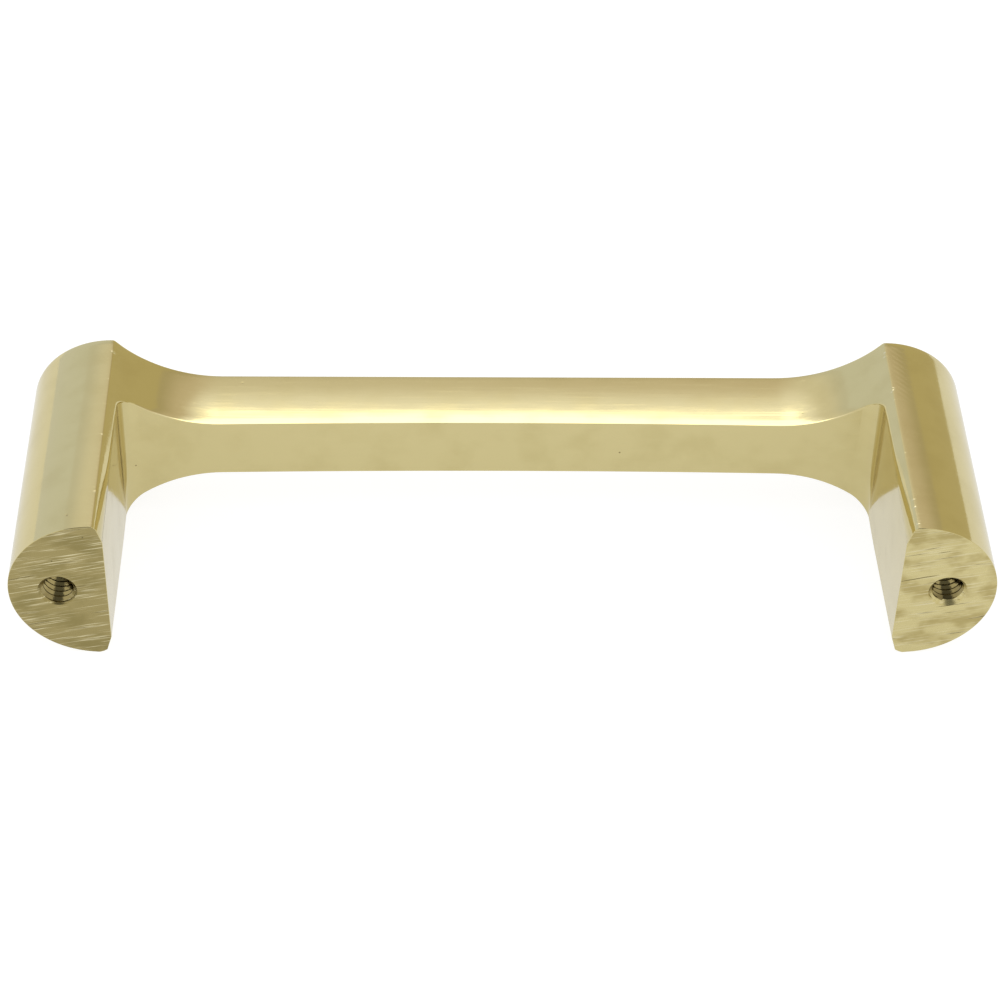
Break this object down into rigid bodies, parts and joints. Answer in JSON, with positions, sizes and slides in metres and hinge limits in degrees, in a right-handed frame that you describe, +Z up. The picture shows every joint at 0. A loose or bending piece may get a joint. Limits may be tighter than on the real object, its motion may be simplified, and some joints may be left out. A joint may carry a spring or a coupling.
{
  "type": "bridge pull handle",
  "caption": "Solid brass bridge pull for a drawer or cabinet door: a slim bar that flares into two round-ended posts, with a tapped screw hole in each foot.",
  "frame": {"origin": "on the mounting plane (the flat foot faces), midway between the two screw holes", "axes": "+X along the pull, +Y out from the drawer front, +Z up, as the pull lies on its side"},
  "size_m": [0.1128, 0.033, 0.0198],
  "materials": {
    "brass": "satin, unlacquered; foot faces belt-sanded"
  },
  "bodies": {
    "root": {"handle": "brass"}
  },
  "joints": []
}
